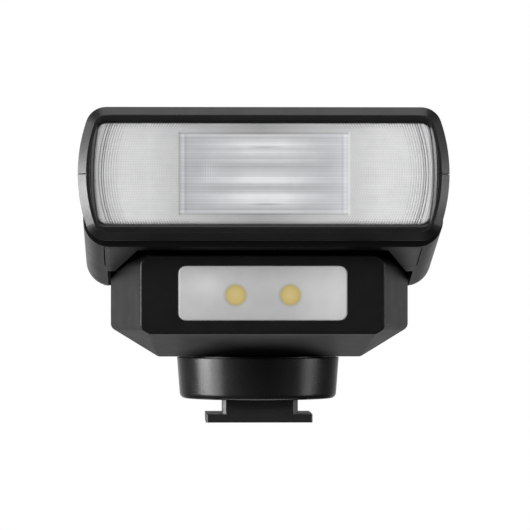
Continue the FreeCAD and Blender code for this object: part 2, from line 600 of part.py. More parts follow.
# ---------------------------------------------------------------- head
def bezel_outline(inset, lens=False):
    """Wide outline with bowed ends, moved inward by inset."""
    name = "lens" if lens else "bezel"
    return mirror_path([
        (f"{name}_corner_half - {inset}", f"{name}_low + {inset}", f"{name}_bow"),
        (f"{name}_corner_half - {inset}", f"{name}_high - {inset}")])


def front_block(name, inset, front, back, corner, lens=False):
    """Slab with the bezel's or the lens's outline between two Y positions."""
    block = prism(name, "XZ_Plane", f"-({back})", bezel_outline(inset, lens), f"({back}) - ({front})")
    return dress(block, "Fillet", corner, lambda e: along(e, "y"))


def head_blank():
    bezel = front_block("head_bezel_block", "0", "head_front", "bezel_back", "bezel_corner")
    dress(bezel, "Chamfer", "bezel_chamfer", lambda e: centre(e).y < -37.9 and e.BoundBox.YLength < 0.001)
    turn = "shell_arc*0.70710678"
    side = prism("head_side_block", "YZ_Plane", "0", [
        ("underside_y", "underside_z"), ("tangent_y", "tangent_z", "lobe_radius"),
        ("pivot_y + lobe_radius*0.70710678", "pivot_z - lobe_radius*0.70710678", "lobe_radius"),
        ("pivot_y + lobe_radius", "pivot_z"), (f"pivot_y + {turn}", f"pivot_z + {turn}", "shell_arc"),
        ("pivot_y", "pivot_z + shell_arc"), ("underside_y", "shell_top")], "2*shell_half", "Symmetric")
    dress(side, "Fillet", "shell_round", lambda e: abs(abs(centre(e).x) - number("shell_half")) < 0.01
          and centre(e).y > -33)
    return fuse("head_blank", bezel, side)


def head_shells():
    blank = head_blank()
    tunnel = prism("tunnel", "XY_Plane", "15", mirror_path([
        ("tunnel_front_half", "tunnel_front"), ("cheek_inner", "block_front - 1.5"),
        ("cheek_inner", "16")]), "tunnel_top - 15")
    room = prism("tower_room", "YZ_Plane", "0", [
        ("pivot_y - room_radius", "15"), ("16", "15"), ("16", "60"), ("room_rear", "60"),
        ("room_rear", "pivot_z + sqrt(room_radius^2 - (room_rear - pivot_y)^2)", "room_radius"),
        ("pivot_y - room_radius", "pivot_z")], "2*cheek_inner", "Symmetric")
    axles = cylinder("axle_bores", "axle_radius + 0.06", ("-28.9", "pivot_y", "pivot_z"), "57.8", "x")
    cavity = box("head_cavity", ("-28.3", "28.3"), ("lens_back - 1", "-17.3"), ("34.9", "51.7"))
    ring_seat = front_block("ring_seat", "bezel_chamfer", "head_front - 1", "bezel_ring_back", "2.3")
    lens_seat = front_block("lens_seat", "-0.6", "bezel_ring_back - 0.1", "lens_back", "1.6", True)
    hollow = blank
    for tool in (tunnel, room, axles, cavity, ring_seat, lens_seat):
        hollow = cut(f"head_less_{tool.Name}", hollow, tool)
    upper = common("head_upper", hollow, box("upper_half", ("-40", "40"), ("-45", "20"),
                                             ("head_middle", "60")))
    lower = common("head_lower", hollow, box("lower_half", ("-40", "40"), ("-45", "20"),
                                             ("10", "head_middle - parting")))
    cover = common("head_bottom_cover", hollow, box("cover_space", ("-cover_half", "cover_half"),
                                                    ("cover_front", "cover_rear"), ("15", "cover_top")))
    node("head_bottom_cover", cover)
    cover_room = box("cover_room", ("-cover_half - seam", "cover_half + seam"),
                     ("cover_front - seam", "cover_rear + seam"), ("15", "cover_top"))
    posts = head_rods("head_post", "2", "lens_seat_floor", "51.9")
    bores = head_rods("head_post_bore", "0.8", "34", "41.3")
    node("head_upper_shell", cut("head_upper_shell", fuse("upper_blank", upper, *posts), *bores))
    holes = head_rods("head_screw_hole", "0.8", "28", "37")
    node("head_lower_shell", cut("head_lower_shell", lower, cover_room, *holes,
                                 *head_rods("head_post_room", "2", "lens_seat_floor", "44")))
    heads = head_rods("head_screw_head", "1.5", "tunnel_top - 0.9", "tunnel_top")
    stems = head_rods("head_screw_stem", "0.8", "tunnel_top - 0.1", "41")
    node("head_screws", group("head_screws", *[fuse("head_screw", *pair) for pair in zip(heads, stems)]))


def head_rods(name, radius, low, high):
    """A pair of upright rods on the head screws' axes."""
    return [cylinder(name, radius, (x, "head_screw_y", low), f"{high} - ({low})")
            for x in ("-head_screw_x", "head_screw_x")]


def lens_bezel():
    ring = front_block("ring_outer", "bezel_chamfer", "head_front", "bezel_ring_back", "2.3")
    hole = front_block("ring_hole", "0", "head_front - 1", "bezel_ring_back + 1", "lens_corner", True)
    flare = front_block("ring_flare", "-ring_flare", "head_front - 1", "head_front + ring_flare",
                        "lens_corner + ring_flare", True)
    dress(flare, "Chamfer", "ring_flare*0.98", lambda e: centre(e).y > -37.9 and e.BoundBox.YLength < 0.001)
    node("lens_bezel", cut("lens_bezel", ring, hole, flare))


def fresnel_lens():
    face = front_block("lens_face_block", "0", "lens_face", "bezel_ring_back + 0.1", "lens_corner", True)
    flange = front_block("lens_flange", "-0.6", "bezel_ring_back", "lens_back", "1.6", True)
    node("fresnel_lens", fuse("fresnel_lens", face, flange))


def reflector():
    outer = prism("reflector_outer", "YZ_Plane", "0", [
        ("-34.4", "head_middle - reflector_mouth - 0.5"), ("-29", "head_middle - 6.6"),
        ("-25", "head_middle - 4.7"), ("-22.6", "head_middle - 2.6"), ("-22.6", "head_middle + 2.6"),
        ("-25", "head_middle + 4.7"), ("-29", "head_middle + 6.6"),
        ("-34.4", "head_middle + reflector_mouth + 0.5")], "2*reflector_half + 1", "Symmetric")
    inner = prism("reflector_inner", "YZ_Plane", "0", [
        ("-34.5", "head_middle - reflector_mouth"), ("-29", "head_middle - 6.1"),
        ("-25.4", "head_middle - 4.3"), ("-23.2", "head_middle - 2.3"), ("-23.2", "head_middle + 2.3"),
        ("-25.4", "head_middle + 4.3"), ("-29", "head_middle + 6.1"),
        ("-34.5", "head_middle + reflector_mouth")], "2*reflector_half", "Symmetric")
    tube_way = cylinder("tube_way", "tube_radius", ("-20", "tube_y", "head_middle"), "40", "x")
    node("flash_reflector", cut("flash_reflector", outer, inner, tube_way))
    plate = box("lens_panel_plate", ("-28.2", "28.2"), ("-35", "-34.4"), ("35", "51.6"))
    mouth = box("lens_panel_mouth", ("-reflector_half", "reflector_half"), ("-36", "-33"),
                ("head_middle - reflector_mouth", "head_middle + reflector_mouth"))
    node("lens_back_panel", cut("lens_back_panel", plate, mouth))


def flash_tube():
    node("xenon_tube", cylinder("xenon_tube", "tube_radius", ("-17", "tube_y", "head_middle"), "34", "x"))
    end = cylinder("tube_end", "1.1", ("17", "tube_y", "head_middle"), "3", "x")
    node("tube_electrodes", group("tube_electrodes", end, mirrored(end)))
    outer = cylinder("sleeve_outer", "2.7", ("reflector_half + 0.5", "tube_y", "head_middle"), "2.3", "x")
    hole = cylinder("sleeve_hole", "tube_radius", ("14", "tube_y", "head_middle"), "5", "x")
    sleeve = cut("sleeve", outer, hole)
    node("tube_sleeves", group("tube_sleeves", sleeve, mirrored(sleeve)))
    core = box("coil_core", ("-27", "-20.5"), ("-32", "-23.5"), ("35.5", "36.7"))
    winding = box("coil_winding", ("-26", "-21.5"), ("-31", "-24.5"), ("36.6", "41"))
    node("trigger_coil", fuse("trigger_coil", core, winding))


shoe_foot()
foot_screws()
shoe_contacts()
swivel_base()
swivel_retainer()
lock_lever()
lock_pin()
led_housing()
led_lamp()
body_front_shell()
tilt_axles()
body_rear_shell()
panel_screws()
rear_panel()
controls()
electronics()
batteries()
battery_door()
head_shells()
lens_bezel()
fresnel_lens()
reflector()
flash_tube()
sizes.clear("D1")
doc.recompute()

faults = [f"{item.Name}: {item.State}" for item in doc.Objects
          if "Invalid" in item.State or "Error" in item.State]
for item in NODES:
    shape = item.Shape
    if shape.isNull() or not shape.isValid():
        faults.append(f"{item.Label}: bad shape")
    else:
        shape.exportStep(f"parts/{item.Label}.step")
    print(f"{item.Label:26s} solids {len(shape.Solids)}  volume {shape.Volume:9.2f}")
if faults:
    raise RuntimeError("; ".join(faults))
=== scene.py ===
"""Looks of the speedlight flash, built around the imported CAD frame.

Metres.  Origin: centre of the foot's bottom face.  +Z up, the front faces -Y, +X to the right.
"""
import bpy
import math
import numpy as np
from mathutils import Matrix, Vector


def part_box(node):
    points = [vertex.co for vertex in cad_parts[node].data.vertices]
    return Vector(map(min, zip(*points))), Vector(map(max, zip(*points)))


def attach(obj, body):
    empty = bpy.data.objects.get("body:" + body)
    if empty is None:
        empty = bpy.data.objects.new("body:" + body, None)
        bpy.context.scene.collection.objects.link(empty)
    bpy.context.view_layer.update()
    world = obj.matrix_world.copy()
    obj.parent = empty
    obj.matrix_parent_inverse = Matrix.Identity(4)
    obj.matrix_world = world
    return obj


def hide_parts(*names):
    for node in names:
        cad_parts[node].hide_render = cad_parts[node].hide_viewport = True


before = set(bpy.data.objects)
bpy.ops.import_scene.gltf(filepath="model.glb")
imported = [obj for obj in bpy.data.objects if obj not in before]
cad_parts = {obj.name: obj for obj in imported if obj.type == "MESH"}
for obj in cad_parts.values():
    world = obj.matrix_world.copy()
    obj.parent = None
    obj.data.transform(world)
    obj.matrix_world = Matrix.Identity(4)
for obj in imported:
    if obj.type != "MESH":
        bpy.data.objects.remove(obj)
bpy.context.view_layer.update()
MM = 0.001


# ---------------------------------------------------------------- node helpers
def add(tree, kind, **settings):
    """New node; settings name its properties, or its inputs as in_NAME or in_0."""
    item = tree.nodes.new(kind)
    for key, value in settings.items():
        if key.startswith("in_"):
            socket = key[3:]
            item.inputs[int(socket) if socket.isdigit() else socket].default_value = value
        else:
            setattr(item, key, value)
    return item


def link(tree, source, output, target, socket):
    tree.links.new(source.outputs[output], target.inputs[socket])


def ramp(tree, low, high, dark, light):
    """Colour ramp between two colours."""
    item = add(tree, "ShaderNodeValToRGB")
    stops = item.color_ramp.elements
    stops[0].position, stops[1].position = low, high
    stops[0].color = (*dark, 1)
    stops[1].color = (*light, 1)
    return item


def span(tree, low, high, first, last):
    """Map Range node from (low, high) to (first, last), clamped."""
    return add(tree, "ShaderNodeMapRange", in_1=low, in_2=high, in_3=first, in_4=last)


def finish_of(name, colour, rough, metal=0.0, level=0.5, mottle=0.08, mottle_size=7.0,
              rough_spread=0.03, grain=0.35, grain_depth=0.012, edge=0.14, wear=0.25,
              wear_colour=None, coat=0.0, streak=None):
    """Moulded or plated surface: mottled colour, uneven roughness, a fine grain, soft edges
    and edges that have gone a little paler.  Sizes in millimetres."""
    mat = bpy.data.materials.new(name)
    mat.use_nodes = True
    tree = mat.node_tree
    shader = tree.nodes["Principled BSDF"]
    shader.inputs["Metallic"].default_value = metal
    shader.inputs["Specular IOR Level"].default_value = level
    shader.inputs["Coat Weight"].default_value = coat
    shader.inputs["Coat Roughness"].default_value = 0.12
    place = add(tree, "ShaderNodeTexCoord")
    where = "Object"
    if streak:
        stretch = add(tree, "ShaderNodeMapping", in_Scale=streak)
        link(tree, place, where, stretch, 0)
        source, socket = stretch, 0
    else:
        source, socket = place, where
    cloud = add(tree, "ShaderNodeTexNoise", in_Scale=1000 / mottle_size, in_Detail=4.0)
    link(tree, source, socket, cloud, 0)
    darker = [c * (1 - mottle) for c in colour]
    paler = [c * (1 + mottle) for c in colour]
    shades = ramp(tree, 0.3, 0.7, darker, paler)
    link(tree, cloud, 0, shades, 0)
    worn = wear_colour or [min(1, c * 2.2 + 0.02) for c in colour]
    soft = add(tree, "ShaderNodeBevel", samples=4, in_Radius=edge * MM)
    shape = add(tree, "ShaderNodeNewGeometry")
    turn = add(tree, "ShaderNodeVectorMath", operation="DOT_PRODUCT")
    link(tree, soft, 0, turn, 0)
    link(tree, shape, "Normal", turn, 1)
    rub = span(tree, 0.995, 0.8, 0, 1)
    link(tree, turn, "Value", rub, 0)
    patch = add(tree, "ShaderNodeTexNoise", in_Scale=1000 / 3.1, in_Detail=3.0)
    link(tree, source, socket, patch, 0)
    patches = span(tree, 0.42, 0.72, 0, wear)
    link(tree, patch, 0, patches, 0)
    amount = add(tree, "ShaderNodeMath", operation="MULTIPLY")
    link(tree, rub, 0, amount, 0)
    link(tree, patches, 0, amount, 1)
    blend = add(tree, "ShaderNodeMix", data_type="RGBA", in_7=(*worn, 1))
    link(tree, amount, 0, blend, 0)
    link(tree, shades, 0, blend, 6)
    link(tree, blend, 2, shader, "Base Color")
    smear = add(tree, "ShaderNodeTexNoise", in_Scale=1000 / (mottle_size * 0.45), in_Detail=5.0)
    link(tree, source, socket, smear, 0)
    gloss = span(tree, 0.3, 0.7, rough - rough_spread, rough + rough_spread)
    link(tree, smear, 0, gloss, 0)
    link(tree, gloss, 0, shader, "Roughness")
    fine = add(tree, "ShaderNodeTexNoise", in_Scale=1000 / grain, in_Detail=2.0)
    link(tree, source, socket, fine, 0)
    bump = add(tree, "ShaderNodeBump", in_Strength=1.0, in_Distance=grain_depth * MM)
    link(tree, fine, 0, bump, "Height")
    link(tree, soft, 0, bump, "Normal")
    link(tree, bump, 0, shader, "Normal")
    return mat


def attribute_toned(name, rough, level, grain, grain_depth):
    """Clear or frosted plastic whose tone, painted light and shade included, is carried by the
    mesh's own colour attribute.
    """
    mat = bpy.data.materials.new(name)
    mat.use_nodes = True
    tree = mat.node_tree
    shader = tree.nodes["Principled BSDF"]
    shader.inputs["Specular IOR Level"].default_value = level
    tone = add(tree, "ShaderNodeAttribute", attribute_name=TONE_AND_PAINTED_LIGHT)
    place = add(tree, "ShaderNodeTexCoord")
    cloud = add(tree, "ShaderNodeTexNoise", in_Scale=1000 / 2.4, in_Detail=3.0)
    link(tree, place, "Object", cloud, 0)
    shift = span(tree, 0.3, 0.7, 0.97, 1.03)
    link(tree, cloud, 0, shift, 0)
    scale = add(tree, "ShaderNodeVectorMath", operation="SCALE")
    link(tree, tone, "Color", scale, 0)
    link(tree, shift, 0, scale, "Scale")
    link(tree, scale, 0, shader, "Base Color")
    gloss = span(tree, 0.3, 0.7, rough - 0.04, rough + 0.04)
    link(tree, cloud, 0, gloss, 0)
    link(tree, gloss, 0, shader, "Roughness")
    fine = add(tree, "ShaderNodeTexNoise", in_Scale=1000 / grain, in_Detail=2.0)
    link(tree, place, "Object", fine, 0)
    bump = add(tree, "ShaderNodeBump", in_Strength=1.0, in_Distance=grain_depth * MM)
    link(tree, fine, 0, bump, "Height")
    link(tree, bump, 0, shader, "Normal")
    return mat


# ---------------------------------------------------------------- finishes
# name of the colour attribute that carries tone with painted light and shade
TONE_AND_PAINTED_LIGHT = "tone_and_painted_light"
BLACK = (0.0065, 0.0065, 0.0068)
DEEP_BLACK = (0.0042, 0.0042, 0.0044)
DRUM_BLACK = (0.0105, 0.0105, 0.0108)
FINISH = {
    "head": finish_of("head_plastic", BLACK, 0.36, level=0.5, grain=0.30, grain_depth=0.008),
    "case": finish_of("case_plastic", DEEP_BLACK, 0.40, level=0.30, grain=0.26, grain_depth=0.006),
    "satin": finish_of("satin_plastic", BLACK, 0.34, level=0.4, grain=0.8, grain_depth=0.004),
    "drum": finish_of("drum_plastic", DRUM_BLACK, 0.27, level=0.32, grain=1.4, grain_depth=0.003),
    "foot": finish_of("plated_foot", (0.011, 0.011, 0.0115), 0.42, level=0.5, grain=0.22,
                      grain_depth=0.006, wear=0.5, wear_colour=(0.2, 0.19, 0.18)),
    "rubber": finish_of("button_rubber", (0.012, 0.012, 0.012), 0.62, level=0.3, grain=0.2,
                        grain_depth=0.012),
    "steel": finish_of("bright_steel", (0.52, 0.52, 0.53), 0.28, metal=1.0, grain=0.5,
                       grain_depth=0.003, streak=(1, 8, 1), wear=0.1),
    "dark_steel": finish_of("oxide_steel", (0.07, 0.07, 0.075), 0.36, metal=1.0, grain=0.4,
                            grain_depth=0.004, wear=0.5, wear_colour=(0.35, 0.35, 0.36)),
    "gold": finish_of("plated_contact", (0.80, 0.58, 0.26), 0.26, metal=1.0, grain=0.5,
                      grain_depth=0.003, wear=0.2),
    "insulator": finish_of("insulator_plastic", (0.018, 0.018, 0.019), 0.5, level=0.4),
    "white": finish_of("white_plastic", (0.78, 0.78, 0.77), 0.45, mottle=0.03, wear=0.1),
    "mirror": finish_of("reflector_metal", (0.86, 0.87, 0.88), 0.16, metal=1.0, mottle=0.04,
                        grain=0.9, grain_depth=0.004, streak=(0.2, 1, 1), wear=0.1),
    "phosphor": finish_of("phosphor_coat", (0.72, 0.56, 0.18), 0.6, mottle=0.08, wear=0.1),
    "board": finish_of("solder_resist", (0.02, 0.10, 0.045), 0.35, coat=0.3, wear=0.2),
    "chip": finish_of("chip_resin", (0.015, 0.015, 0.015), 0.55, wear=0.2),
    "can": finish_of("capacitor_sleeve", (0.02, 0.025, 0.06), 0.3, coat=0.3, wear=0.2),
    "tape": finish_of("coil_tape", (0.62, 0.44, 0.07), 0.42, mottle=0.08, streak=(6, 1, 1)),
    "cell": finish_of("cell_sleeve", (0.16, 0.17, 0.19), 0.32, coat=0.4, mottle=0.08),
    "silicone": finish_of("soft_silicone", (0.62, 0.62, 0.6), 0.55, mottle=0.04),
    "tube": finish_of("tube_quartz", (0.80, 0.82, 0.84), 0.08, coat=0.6, mottle=0.03,
                      grain_depth=0.002),
    "lamp": finish_of("lamp_red", (0.32, 0.02, 0.012), 0.18, coat=0.6, grain_depth=0.002),
}
NODE_FINISH = {
    "head": ["head_upper_shell", "head_lower_shell", "head_bottom_cover"],
    "case": ["led_housing", "body_front_shell", "body_rear_shell", "battery_door"],
    "satin": ["lens_bezel", "rear_panel", "power_switch_knob", "lock_lever", "swivel_base_cover"],
    "drum": ["swivel_base"],
    "foot": ["shoe_foot"],
    "rubber": ["test_button", "mode_button", "led_button"],
    "steel": ["swivel_retaining_ring", "retaining_ring_screws", "shoe_lock_pin", "tilt_axles",
              "tactile_switches", "battery_spring_terminals", "door_hinge_pin", "tube_electrodes"],
    "dark_steel": ["shoe_foot_screws", "rear_panel_screws", "head_screws"],
    "gold": ["shoe_contacts", "door_contact_plate"],
    "insulator": ["contact_insulator", "battery_tray"],
    "white": ["led_reflector_tray", "led_board", "lens_back_panel"],
    "mirror": ["flash_reflector"],
    "phosphor": ["led_emitters"],
    "board": ["switch_board", "main_circuit_board"],
    "chip": ["board_components"],
    "can": ["flash_capacitor"],
    "tape": ["charging_transformer", "trigger_coil"],
    "cell": ["aaa_cells"],
    "silicone": ["tube_sleeves"],
    "tube": ["xenon_tube"],
    "lamp": ["status_lamps"],
}


def dress_nodes():
    for key, names in NODE_FINISH.items():
        for name in names:
            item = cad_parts[name]
            item.data.materials.clear()
            item.data.materials.append(FINISH[key])


# ---------------------------------------------------------------- mesh helpers
def mesh_piece(name, points, faces, mat, tone_and_painted_light=None, smooth=True):
    data = bpy.data.meshes.new(name)
    data.from_pydata([tuple(p) for p in points], [], faces)
    if tone_and_painted_light is not None:
        layer = data.color_attributes.new(TONE_AND_PAINTED_LIGHT, "FLOAT_COLOR", "POINT")
        rgba = np.ones((len(points), 4), np.float32)
        rgba[:, :3] = tone_and_painted_light
        layer.data.foreach_set("color", rgba.ravel())
    data.materials.append(mat)
    data.polygons.foreach_set("use_smooth", [smooth] * len(data.polygons))
    data.update()
    item = bpy.data.objects.new(name, data)
    bpy.context.scene.collection.objects.link(item)
    return item


def slab(columns, rows, front, back_y):
    """Closed plate from a front grid (rows x columns of points) and a flat back at back_y."""
    back = front.copy()
    back[:, :, 1] = back_y
    points = np.concatenate([front.reshape(-1, 3), back.reshape(-1, 3)])
    size = columns * rows

    def at(row, column, side=0):
        return side * size + row * columns + column

    faces = []
    for r in range(rows - 1):
        for c in range(columns - 1):
            faces.append((at(r, c), at(r, c + 1), at(r + 1, c + 1), at(r + 1, c)))
    rim = [at(0, c) for c in range(columns)]
    rim += [at(r, columns - 1) for r in range(1, rows)]
    rim += [at(rows - 1, c) for c in range(columns - 2, -1, -1)]
    rim += [at(r, 0) for r in range(rows - 2, 0, -1)]
    for index, first in enumerate(rim):
        last = rim[(index + 1) % len(rim)]
        faces.append((first, first + size, last + size, last))
    for r in range(rows - 1):
        for c in range(columns - 1):
            faces.append((at(r, c, 1), at(r + 1, c, 1), at(r + 1, c + 1, 1), at(r, c + 1, 1)))
    return points, faces


def corner_cut(gap, radius):
    """How far a rounded corner pulls the side in, at a height gap below the top edge."""
    gap = np.clip(gap, 0, radius)
    return radius - np.sqrt(np.maximum(radius ** 2 - (radius - gap) ** 2, 0))


def bump_at(value, middle, width):
    return np.exp(-((value - middle) / width) ** 2)


# ---------------------------------------------------------------- flash lens
LENS = {"corner_half": 27.5, "high": 51.17, "low": 34.21, "bow": 42.7, "round": 1.3,
        "face": -37.55, "back": -35.3, "window_half": 14.1, "window_high": 6.65}
GROOVE_PITCH = 0.40
RIB_PITCH = 0.42
# dark arcs near the lens's ends, cut as shallow grooves and darkened in colour as painted shade:
# distance in from the rim, strength
ARCS = ((0.80, 0.8), (1.28, 1.0), (1.62, 0.75), (2.05, 0.35), (2.45, 0.3), (2.9, 0.22),
        (3.3, 0.18), (3.75, 0.14))
# painted reflections: bright and dark streaks in the reflector's mouth: strength, height, half
# width
PAINTED_REFLECTION_STREAKS = ((0.30, 47.6, 0.65), (0.18, 46.2, 0.6), (0.10, 44.9, 0.35), (-0.06, 44.0, 0.5),
           (0.34, 41.7, 0.7), (-0.07, 40.5, 0.45), (0.36, 38.9, 0.6), (0.22, 37.9, 0.6),
           (0.05, 43.0, 0.4))
# painted reflection: thin dark lines crossing the brightest painted streaks
EYES = (47.1, 37.6)
# painted highlight: a faint glint of upright ribs left of the middle: x, height
GLINT = (-9.4, 42.9)


def lens_piece():
    """Fresnel lens: concentric grooves at the sides, horizontal ribs, and the reflector's
    mouth in the middle, whose bright streaks are painted reflections in the colour; painted
    shade darkens the grooves, the rims and the side edges."""
    middle = (LENS["high"] + LENS["low"]) / 2
    reach = (LENS["high"] - LENS["low"]) / 2
    rows, side, centre = 171, 190, 221
    v = np.linspace(-reach, reach, rows)
    inner = 0.5
    t = np.concatenate([np.linspace(-1, -inner, side, endpoint=False),
                        np.linspace(-inner, inner, centre),
                        np.linspace(inner, 1, side + 1)[1:]])
    columns = len(t)
    bow = LENS["bow"]
    half = LENS["corner_half"] + np.sqrt(bow ** 2 - v ** 2) - math.sqrt(bow ** 2 - reach ** 2)
    half = half - corner_cut(reach - np.abs(v), LENS["round"])
    x = t[None, :] * half[:, None]
    z = np.repeat(v[:, None], columns, 1)
    rng = np.random.RandomState(4)
    ring = np.sqrt(x ** 2 + (1.073 * z) ** 2)
    from_edge = 28.35 - ring
    tip = reach - np.abs(z)
    lip = np.clip(1 - tip / 1.0, 0, 1)
    outside = np.clip((np.abs(x) - LENS["window_half"]) / 3, 0, 1)
    # grooves
    saw = (from_edge / GROOVE_PITCH) % 1.0
    groove = saw - 0.5
    depth = 0.018 + 0.07 * lip + 0.03 * np.clip(1 - from_edge / 5, 0, 1)
    relief = depth * groove * outside
    arcs = sum(bump_at(from_edge, inward, 0.10) * strength for inward, strength in ARCS)
    relief -= 0.09 * arcs
    ribs = np.sin(2 * np.pi * z / RIB_PITCH)
    relief += 0.010 * ribs
    edge_round = 0.25 * (np.clip(1 - tip / 0.5, 0, 1) ** 2)
    side_gap = (1 - np.abs(t[None, :])) * half[:, None]
    edge_round += 0.25 * (np.clip(1 - side_gap / 0.5, 0, 1) ** 2)
    # the mouth of the reflector, seen in the middle
    within = np.clip((LENS["window_half"] - np.abs(x)) / 0.25, 0, 1)
    within *= np.clip((LENS["window_high"] - np.abs(z)) / 0.2, 0, 1)
    toward = 0.5 + 0.5 * np.tanh(x / 7)
    tone = 0.835 + 0.06 * toward + 0.02 * np.clip(x / 28, -1, 1)
    # painted shade: darker along the lens's side edges, next to the bezel
    tone -= 0.13 * np.exp(-side_gap / 0.9) + 0.02 * np.exp(-side_gap / 3.0)
    # painted highlight: a lighter patch left of the middle
    tone += 0.03 * bump_at(x, -22.8, 1.3) * np.cos(z / 5.5)
    tone += 0.012 * np.sin(2 * np.pi * z / 1.18) * np.sin(x / 2.3) * outside
    # painted shade: darker over the middle, round the reflector's mouth
    tone -= 0.37 * np.clip(1 - np.abs(x) / 19, 0, 1) ** 0.7 * (1 - within)
    # painted shade: darker towards the top
    tone -= 0.05 * np.clip(z / reach, 0, 1) ** 4
    # painted shade: the dark arcs darken the colour
    tone *= 1 - 0.68 * np.clip(arcs, 0, 1)
    # painted shade on one face of each groove, stronger near the rims
    tone *= 1 - (0.055 + 0.36 * lip * np.clip((np.abs(x) - 9) / 4, 0, 1)) * (saw < 0.45)
    # painted light and shade following the ribs
    tone *= 1 + 0.028 * ribs * outside
    # painted shade along the top and bottom rims
    tone -= 0.06 * lip
    height = z + middle
    core = np.clip((np.abs(x) - 3.0) / 9.5, 0, 1)
    glow = (1 - core) ** 1.2
    # the reflector's mouth is painted into the colour: a base tone with a painted glow in the
    # middle, painted reflection streaks, faint lines and the ribs
    base = 0.56 + 0.04 * toward + 0.02 * np.sin(height * 9.0)
    base += 0.14 * np.clip((x - 9) / 4, 0, 1) ** 2
    base += 0.06 * glow * bump_at(height, 43.5, 7.0)
    painted_reflection_bands = sum(strength * bump_at(height, at, width) for strength, at, width in PAINTED_REFLECTION_STREAKS)
    seen = base + painted_reflection_bands * (0.15 + 0.85 * glow)
    lines = rng.uniform(-1, 1, rows)
    lines = np.convolve(lines, [0.25, 0.5, 0.25], "same")
    seen += 0.06 * lines[:, None] * (0.35 + 0.65 * glow)
    seen += 0.025 * ribs * (0.4 + 0.6 * glow)
    # painted highlight: faint upright ribs glinting left of the middle
    upright = 0.08 + 0.11 * np.sin(x * 2 * np.pi / RIB_PITCH)
    seen += upright * bump_at(x, GLINT[0], 1.2) * bump_at(height, GLINT[1], 1.7)
    # painted reflection: dark lines across the brightest streaks
    for eye in EYES:
        seen -= 0.22 * bump_at(height, eye, 0.15) * bump_at(x, 0.4, 2.4)
    # painted highlight and painted shade: a light line and a dark line just inside the window's
    # sides
    ledge = np.clip(LENS["window_half"] - np.abs(x), 0, 9)
    seen += 0.12 * bump_at(ledge, 0.55, 0.22) - 0.08 * bump_at(ledge, 1.05, 0.20)
    tone = tone * (1 - within) + seen * within
    # painted shade on the window's left edge and just outside its top and bottom, painted
    # highlight on its right edge and just inside its top and bottom
    beyond = np.abs(z) < LENS["window_high"] + 0.3
    tone -= 0.22 * bump_at(x, -LENS["window_half"], 0.16) * beyond
    tone += 0.20 * bump_at(x, LENS["window_half"] + 0.1, 0.16) * beyond
    across = np.abs(x) < LENS["window_half"]
    tone -= 0.14 * bump_at(np.abs(z), LENS["window_high"] + 0.1, 0.14) * across
    tone += 0.12 * bump_at(np.abs(z), LENS["window_high"] - 0.35, 0.16) * across
    tone = np.clip(tone, 0.05, 0.95)
    front = np.stack([x, LENS["face"] - relief + edge_round, height], 2) * MM
    points, faces = slab(columns, rows, front, LENS["back"] * MM)
    # the painted reflection in the reflector's mouth is made a little bluer
    cool = np.clip(within * (0.4 + 0.6 * core), 0, 1)
    colour = np.stack([tone * (0.992 - 0.012 * cool), tone * (0.998 - 0.004 * cool),
                       tone * (1.004 + 0.028 * cool)], 2).reshape(-1, 3)
    colour = np.concatenate([colour, colour])
    acrylic = attribute_toned("lens_acrylic", 0.20, level=0.45, grain=0.3, grain_depth=0.001)
    item = mesh_piece("flash_lens", points, faces, acrylic, colour)
    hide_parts("fresnel_lens")
    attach(item, "head")


# ---------------------------------------------------------------- LED window
WINDOW_CORNER = 1.35
LED_OFFSET = 4.63
LED_HEIGHT = 22.4
LED_RADIUS = 1.66


def window_piece():
    """Frosted window with the two LEDs glowing yellow through it, painted lighter towards the top
    against the head's shadow, with a painted highlight at the upper left and painted shade along
    the rims.
    """
    low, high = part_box("led_window")
    half = (high.x - low.x) / 2 / MM
    reach = (high.z - low.z) / 2 / MM
    middle = (high.z + low.z) / 2 / MM
    rows, columns = 71, 215
    v = np.linspace(-reach, reach, rows)
    u = np.linspace(-1, 1, columns)
    side = half - corner_cut(reach - np.abs(v), WINDOW_CORNER)
    x = u[None, :] * side[:, None]
    z = np.repeat(v[:, None], columns, 1)
    tip = reach - np.abs(z)
    gap = (1 - np.abs(u[None, :])) * side[:, None]
    rim = 0.12 * np.clip(1 - tip / 0.25, 0, 1) ** 2
    rim = rim + 0.12 * np.clip(1 - gap / 0.25, 0, 1) ** 2
    front = np.stack([x, low.y / MM + rim, z + middle], 2) * MM
    points, faces = slab(columns, rows, front, high.y)
    # lighter towards the top: painted light set against the shadow the head casts on it; a little
    # darker in the middle
    tone = 0.645 - 0.03 * np.cos(x / 5) + 0.07 * z / reach
    # painted highlight: a lighter patch at the upper left
    tone += 0.11 * bump_at(x, -9.3, 2.6) * bump_at(z, 1.9, 2.2)
    tone += 0.11 * np.clip((x - 3) / 9, 0, 1)
    # painted shade along the top and bottom rims
    tone -= 0.05 * np.clip(1 - tip / 0.6, 0, 1)
    colour = np.stack([tone, tone, tone * 1.005], 2)
    for spot in (-LED_OFFSET, LED_OFFSET):
        away = np.sqrt((x - spot) ** 2 + (z + middle - LED_HEIGHT) ** 2)
        disc = 1 / (1 + np.exp((away - LED_RADIUS) / 0.09))
        heart = bump_at(away, 0, 1.1)
        halo = bump_at(away, 1.72, 0.30)
        yellow = [0.72 + 0.05 * heart, 0.55 + 0.08 * heart, 0.19 + 0.09 * heart]
        yellow = np.stack(yellow, 2)
        colour = colour * (1 - disc[..., None]) + yellow * disc[..., None]
        colour -= halo[..., None] * np.array([0.10, 0.11, 0.14])
    colour = np.clip(colour, 0.02, 1).reshape(-1, 3)
    frosted = attribute_toned("frosted_window", 0.38, level=0.4, grain=0.18, grain_depth=0.004)
    item = mesh_piece("led_diffuser", points, faces, frosted, np.concatenate([colour, colour]))
    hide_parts("led_window")
    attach(item, "body")


# ---------------------------------------------------------------- stage, light, camera
FLOOR_HALF = 6.0
FLOOR_Z = -0.0002
